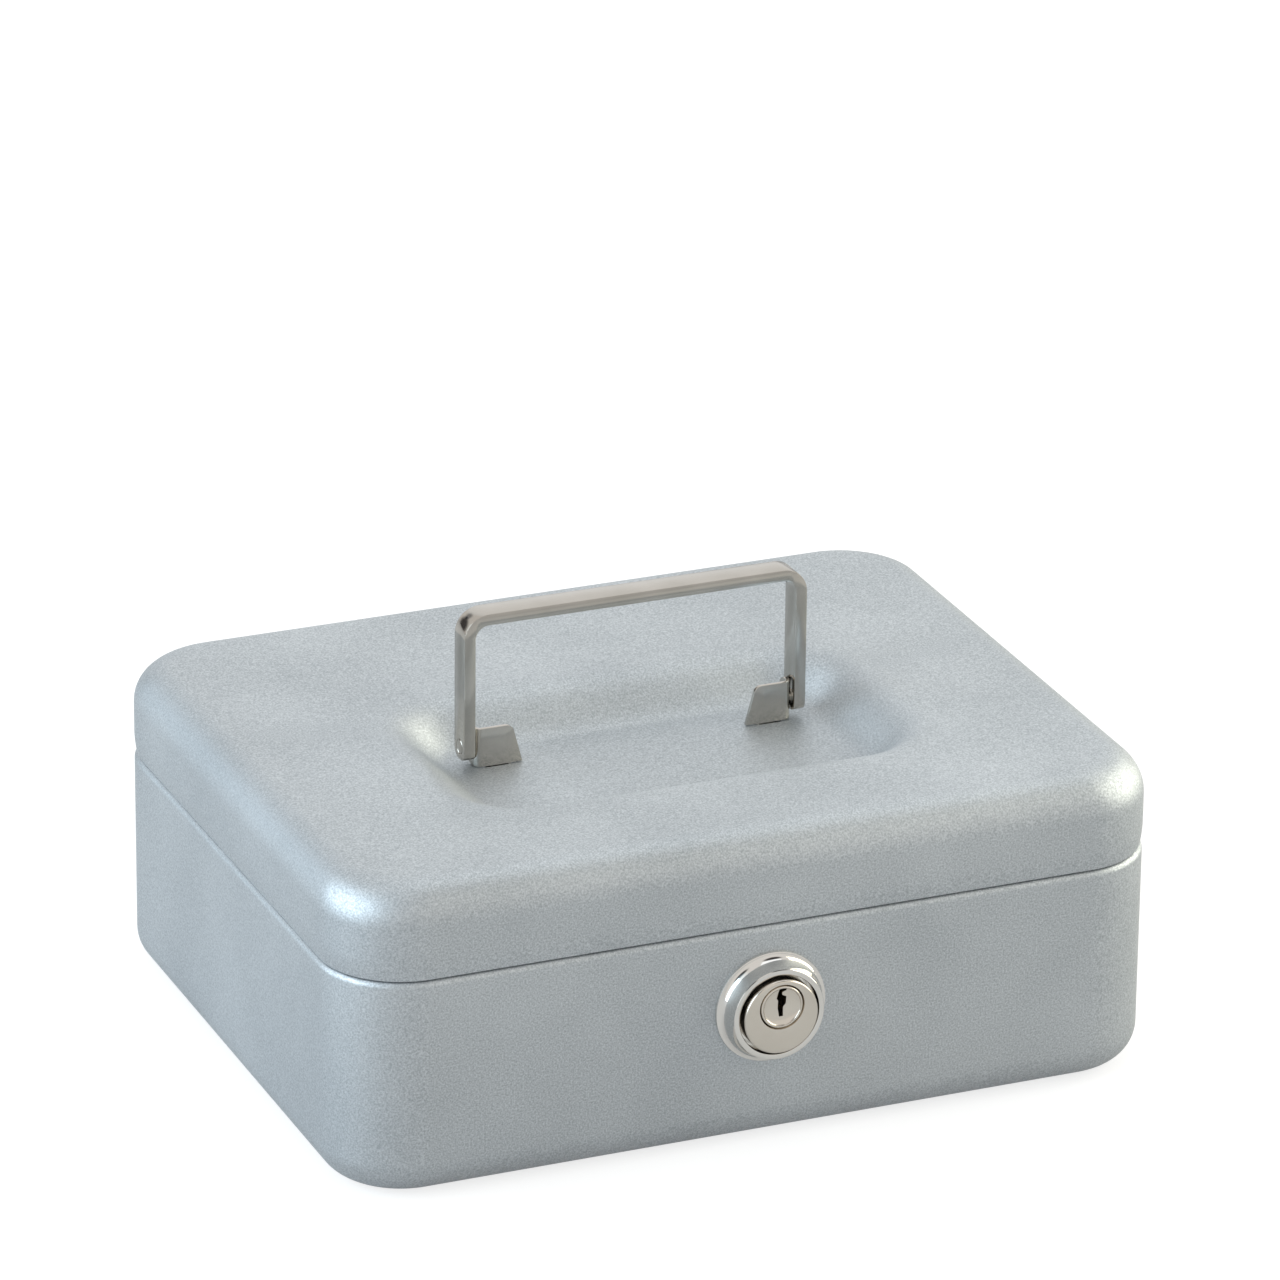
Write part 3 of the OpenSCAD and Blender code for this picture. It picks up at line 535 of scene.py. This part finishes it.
# core with a hollow dish, its key slot and a flatted tail for the cam
plug = {"pastHousing": 0.2, "backBevel": 0.15, "edge": ((0, -0.7), (0.2, -0.12), (0.38, 0), (0.62, 0)),
        "dishIn": 0.72, "dishDepth": 1.3, "dishSteps": 12, "keywayEnd": -6.5,
        "tailRadius": 4, "tailFlat": 3, "tailLength": 1.55, "tailInside": 0.5, "tailSteps": 64}


def makePlug():
    r, face, flat = lock["plug"], lock["face"], plug["tailFlat"]
    back, bevel = -lock["depth"] - plug["pastHousing"], plug["backBevel"]
    profile = [(0, back), (r - bevel, back), (r, back + bevel)] + edgePoints(r, face, plug["edge"])
    profile += arcPoints(0, face, r - plug["dishIn"], 0, -90, plug["dishSteps"], plug["dishDepth"])
    piece = turnedPiece("lockPlug", profile, lock["steps"], atPlug)
    combine(piece, "DIFFERENCE", prism(keyway, plug["keywayEnd"], face + beyond))
    tailRound = arcPoints(0, 0, plug["tailRadius"], 0, 360, plug["tailSteps"])[:-1]
    tailEnd = [(max(-flat, min(flat, x)), y) for x, y in tailRound]
    combine(piece, "UNION", prism(tailEnd, back - plug["tailLength"], back + plug["tailInside"]))
    smooth(piece, "turned")
    finishPiece(piece, "plug", "lock_nickel", "lock_plug")


makeRosette()
makeHousing()
makePlug()
print("lock made")


# one tree repeats a small piece along a row and gives it its material
def rowTree(materialName):
    tree = bpy.data.node_groups.new("row_" + materialName, "GeometryNodeTree")
    tree.interface.new_socket(name="Geometry", in_out="OUTPUT", socket_type="NodeSocketGeometry")
    sockets = {}
    for label, kind in (("Piece", "Object"), ("Count", "Int"), ("Start", "Vector"), ("Step", "Vector")):
        sockets[label] = tree.interface.new_socket(name=label, in_out="INPUT",
                                                   socket_type="NodeSocket" + kind).identifier
    given, out = tree.nodes.new("NodeGroupInput"), tree.nodes.new("NodeGroupOutput")
    line, info, place, real, paint = [tree.nodes.new("GeometryNode" + kind) for kind in (
        "MeshLine", "ObjectInfo", "InstanceOnPoints", "RealizeInstances", "SetMaterial")]
    paint.inputs["Material"].default_value = materials[materialName]
    for source, output, target, socket in (
            (given, "Count", line, "Count"), (given, "Start", line, "Start Location"),
            (given, "Step", line, "Offset"), (given, "Piece", info, "Object"),
            (line, "Mesh", place, "Points"), (info, "Geometry", place, "Instance"),
            (place, "Instances", real, "Geometry"), (real, "Geometry", paint, "Geometry"),
            (paint, "Geometry", out, "Geometry")):
        tree.links.new(source.outputs[output], target.inputs[socket])
    return tree, sockets


# pins, springs and their row, which runs inwards from the lock's face
row = {"count": 5, "first": 8.5, "pitch": 3.4}
pins = {"radius": 1.4, "steps": 32, "driverLength": 3.2, "shearGap": 0.1, "driverBevel": 0.3,
        "keySeat": 0.05, "keyBevel": 0.25, "keyShoulder": 3.3, "keyTip": 0.6}
spring = {"wire": 0.2, "turns": 4, "stepsPerTurn": 20, "sides": 8}


# one piece, standing at the origin, repeated along the row
def makeRow(name, single, body, slotName, node):
    tree, sockets = rowTree(slotName)
    piece = newPiece(name, [(0, 0, 0)], [])
    change = piece.modifiers.new("row", "NODES")
    change.node_group = tree
    change[sockets["Piece"]] = single
    change[sockets["Count"]] = row["count"]
    change[sockets["Start"]] = Vector(atLock(0, 0, lock["face"] - row["first"])) * mm
    change[sockets["Step"]] = (0, row["pitch"] * mm, 0)
    settle(piece)
    bpy.data.objects.remove(single)
    smooth(piece, "turned")
    finishPiece(piece, body, slotName, node)


# wound wire that stands between two heights
def woundWire(radius, low, high):
    wire, perTurn, sides = spring["wire"], spring["stepsPerTurn"], spring["sides"]
    total = spring["turns"] * perTurn
    points, faces = [], []
    for k in range(total + 1):
        a = 2 * math.pi * k / perTurn
        z = low + wire + (high - low - 2 * wire) * k / total
        for s in range(sides):
            b = 2 * math.pi * s / sides
            r = radius - wire + wire * math.cos(b)
            points.append((r * math.cos(a), r * math.sin(a), z + wire * math.sin(b)))
    for k in range(total):
        for s in range(sides):
            t = (s + 1) % sides
            faces.append((k * sides + s, k * sides + t, (k + 1) * sides + t, (k + 1) * sides + s))
    faces += [tuple(range(sides)), tuple(range(total * sides + sides - 1, total * sides - 1, -1))]
    piece = newPiece("spring", points, faces)
    fixNormals(piece)
    return piece


# the drivers end just under the plug, the springs fill the room down to the cover, and the key pins
# stand inside the plug
def makeRows():
    r, plugUp = pins["radius"], lock["plugUp"]
    high = plugUp - lock["plug"] - pins["shearGap"]
    low, bevel = high - pins["driverLength"], pins["driverBevel"]
    driver = [(0, low), (r - bevel, low), (r, low + bevel), (r, high - bevel), (r - bevel, high), (0, high)]
    makeRow("driverPins", turnedPiece("pin", driver, pins["steps"]), "base", "brass", "driver_pins")
    coverTop = -lock["body"] + housing["slotDepth"]
    makeRow("pinSprings", woundWire(r, coverTop, low), "base", "zinc", "pin_springs")
    foot, bevel = plugUp - math.sqrt(lock["plug"] ** 2 - r ** 2) + pins["keySeat"], pins["keyBevel"]
    shoulder = plugUp - pins["keyShoulder"]
    tip = shoulder + pins["keyTip"]
    keyPin = [(0, foot), (r - bevel, foot), (r, foot + bevel), (r, shoulder), (r / 2, tip), (0, tip)]
    makeRow("keyPins", turnedPiece("pin", keyPin, pins["steps"]), "plug", "brass", "key_pins")


makeRows()
print("rows of pins and springs made")

# riveted pins that the handle turns on: a groove and a low dome show on the leg's outer face
rivet = {"shank": 1.9, "head": 2.1, "headThick": 0.55, "dome": 0.35, "domeSteps": 5, "endBevel": 0.15,
         "neck": 0.2, "headEdge": 0.1, "steps": 48}


def makeRivet(side, node):
    low, high = [[v / mm for v in corner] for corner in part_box(node)]
    length, middle = high[0] - low[0], [(low[a] + high[a]) / 2 for a in range(3)]
    r, h, bevel = rivet["shank"], rivet["head"], rivet["endBevel"]
    headBack, headFront = length - rivet["headThick"], length - rivet["headEdge"]
    profile = [(0, 0), (r - bevel, 0), (r, bevel), (r, headBack - rivet["neck"])]
    profile += [(h, headBack), (h, headFront)]
    profile += arcPoints(0, headFront, h, 15, 90, rivet["domeSteps"], rivet["dome"])
    out, start = (-1, high[0]) if side == "Left" else (1, low[0])

    def atLeg(x, y, z):
        return (start + out * z, middle[1] + x, middle[2] + y)

    piece = turnedPiece("rivet" + side, profile, rivet["steps"], atLeg)
    smooth(piece, "turned")
    finishPiece(piece, "lid", "nickel_strip", node)


makeRivet("Left", "handle_pivot_left")
makeRivet("Right", "handle_pivot_right")
print("rivets made")

# the other pieces keep the CAD form, merged, with real bevels: body, slot, and the bevel's width
softening = {"weld": 2e-7, "flatWithin": 0.5, "segments": 2, "bevelFrom": 32}
softPieces = {
    "handle_bail": ("handle", "nickel_strip", 0.22),
    "handle_bracket_left": ("lid", "nickel_strip", 0.2),
    "handle_bracket_right": ("lid", "nickel_strip", 0.2),
    "lock_nut": ("base", "zinc", 0.3),
    "chamber_cover": ("base", "brass", 0.1),
    "lock_cam": ("plug", "zinc", 0.2),
    "cam_screw": ("plug", "zinc", 0.3),
    "strike_plate": ("lid", "zinc", 0.25),
    "base_hinge_leaf_left": ("base", "zinc", 0.12),
    "base_hinge_leaf_right": ("base", "zinc", 0.12),
    "lid_hinge_leaf_left": ("lid", "zinc", 0.12),
    "lid_hinge_leaf_right": ("lid", "zinc", 0.12),
    "hinge_pin_left": ("base", "zinc", 0.12),
    "hinge_pin_right": ("base", "zinc", 0.12),
    "tray_ledge_left": ("base", "zinc", 0.25),
    "tray_ledge_right": ("base", "zinc", 0.25),
    "coin_tray": ("tray", "black_plastic", 0.4),
    "tray_pocket_left": ("tray", "black_plastic", 0.4),
    "tray_pocket_middle": ("tray", "black_plastic", 0.4),
    "tray_pocket_right": ("tray", "black_plastic", 0.4),
}


def softened(node, width):
    work = bmesh.new()
    work.from_mesh(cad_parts[node].data)
    bmesh.ops.remove_doubles(work, verts=work.verts, dist=softening["weld"])
    bmesh.ops.dissolve_limit(work, angle_limit=math.radians(softening["flatWithin"]),
                             verts=work.verts, edges=work.edges)
    mesh = bpy.data.meshes.new(node + "_soft")
    work.to_mesh(mesh)
    work.free()
    piece = bpy.data.objects.new(node + "_soft", mesh)
    scene.collection.objects.link(piece)
    bevel = piece.modifiers.new("edges", "BEVEL")
    bevel.width, bevel.segments = width * mm, softening["segments"]
    bevel.limit_method, bevel.angle_limit = "ANGLE", math.radians(softening["bevelFrom"])
    bevel.use_clamp_overlap = True
    settle(piece)
    smooth(piece, "sheet")
    return piece


for node, (body, slotName, width) in softPieces.items():
    finishPiece(softened(node, width), body, slotName, node)
print("other pieces softened:", len(softPieces))

# plain pale floor and soft studio light
studio = {"floor": 6, "floorColour": (0.36, 0.36, 0.36), "cameraGlow": 0.73, "glossGlow": 0.25,
          "around": (0.79, 0.77, 0.745), "board": "backdrop", "aim": (0, 0, 0.03)}

# where the world is lighter or darker than around: degrees round from the back towards the right,
# degrees up, inner and outer half angles; a colour below zero is a flag that takes light away
softboxes = {
    "backdrop": {"round": 25, "up": 28, "inner": 14, "outer": 34, "colour": (0.07, 0.13, 0.19)},
    "leftGlow": {"round": -90, "up": 22, "inner": 12, "outer": 46, "colour": (0.40, 0.55, 0.65)},
    "flagLeft": {"round": -30, "up": 8, "inner": 9, "outer": 20, "colour": (-0.73, -0.715, -0.69)},
    "flagBend": {"round": -15, "up": 24, "inner": 3, "outer": 11, "colour": (-0.50, -0.48, -0.45)},
    "flagRight": {"round": 44, "up": 3, "inner": 8, "outer": 18, "colour": (-0.73, -0.715, -0.69)},
    "flagOver": {"round": 135, "up": 60, "inner": 8, "outer": 18, "colour": (-0.73, -0.715, -0.69)},
    "flagHigh": {"round": -130, "up": 42, "inner": 8, "outer": 19, "colour": (-0.73, -0.715, -0.69)},
}
lamps = {
    "overhead": {"place": (0.35, 0.1, 1.4), "size": (0.9, 0.9), "power": 1.4, "colour": (0.8, 0.9, 1.0)},
    "left": {"place": (-1.25, 0.1, 0.58), "size": (1.6, 1.1), "power": 14.5, "colour": (0.74, 0.89, 1.0)},
    "right": {"place": (1.25, -0.1, 0.54), "size": (1.4, 1.0), "power": 12.5, "colour": (1.0, 0.97, 0.79)},
}


# cameraShare for camera rays, and glossShare for rays that metal or glass sends out
def seenShare(tree, cameraShare, glossShare):
    path = addNode(tree, "LightPath").outputs
    shiny = addNode(tree, "Math", {0: path["Is Glossy Ray"], 1: path["Is Transmission Ray"]},
                    operation="MAXIMUM")
    scaled = addNode(tree, "Math", {0: shiny.outputs[0], 1: glossShare}, operation="MULTIPLY")
    total = addNode(tree, "Math", {0: path["Is Camera Ray"], 1: cameraShare, 2: scaled.outputs[0]},
                    operation="MULTIPLY_ADD")
    return total.outputs[0]


def makeFloor():
    r = studio["floor"] / mm
    floor = newPiece("floor", [(-r, -r, 0), (r, -r, 0), (r, r, 0), (-r, r, 0)], [(0, 1, 2, 3)])
    material = bpy.data.materials.new("floor")
    material.use_nodes = True
    tree = material.node_tree
    tree.nodes.remove(tree.nodes["Principled BSDF"])
    matt = addNode(tree, "BsdfDiffuse", {"Color": (*studio["floorColour"], 1)})
    glow = addNode(tree, "Emission", {"Strength": seenShare(tree, studio["cameraGlow"], studio["glossGlow"])})
    both = addNode(tree, "AddShader", {0: matt.outputs[0], 1: glow.outputs[0]})
    tree.links.new(both.outputs[0], tree.nodes["Material Output"].inputs["Surface"])
    floor.data.materials.append(material)


def makeWorld():
    world = bpy.data.worlds.new("studio")
    world.use_nodes = True
    scene.world = world
    tree = world.node_tree
    way = addNode(tree, "TexCoord").outputs["Generated"]
    total, masks = studio["around"], {}
    for name, given in softboxes.items():
        turn, up = math.radians(given["round"]), math.radians(given["up"])
        towards = (math.sin(turn) * math.cos(up), math.cos(turn) * math.cos(up), math.sin(up))
        dot = addNode(tree, "VectorMath", {0: way, 1: towards}, operation="DOT_PRODUCT")
        outer, inner = [math.cos(math.radians(given[k])) for k in ("outer", "inner")]
        masks[name] = ramp(tree, dot.outputs["Value"], outer, inner, 0, 1)
        masks[name].node.interpolation_type = "SMOOTHSTEP"
        total = addNode(tree, "VectorMath", {0: masks[name], 1: given["colour"], 2: total},
                        operation="MULTIPLY_ADD").outputs[0]
    light = tree.nodes["Background"]
    tree.links.new(total, light.inputs["Color"])
    white = addNode(tree, "Background", {"Color": (1, 1, 1, 1)})
    mix = addNode(tree, "MixShader", {0: seenShare(tree, 1, masks[studio["board"]]),
                                      1: light.outputs[0], 2: white.outputs[0]})
    tree.links.new(mix.outputs[0], tree.nodes["World Output"].inputs["Surface"])


def makeLamp(name):
    given = lamps[name]
    data = bpy.data.lights.new(name, "AREA")
    data.shape, data.size, data.size_y = "RECTANGLE", *given["size"]
    data.energy, data.color = given["power"], given["colour"]
    lamp = bpy.data.objects.new(name, data)
    scene.collection.objects.link(lamp)
    place = Vector(given["place"])
    lamp.location = place
    lamp.rotation_euler = (place - Vector(studio["aim"])).to_track_quat("Z", "Y").to_euler()


makeFloor()
makeWorld()
for lampName in lamps:
    makeLamp(lampName)
print("studio made")
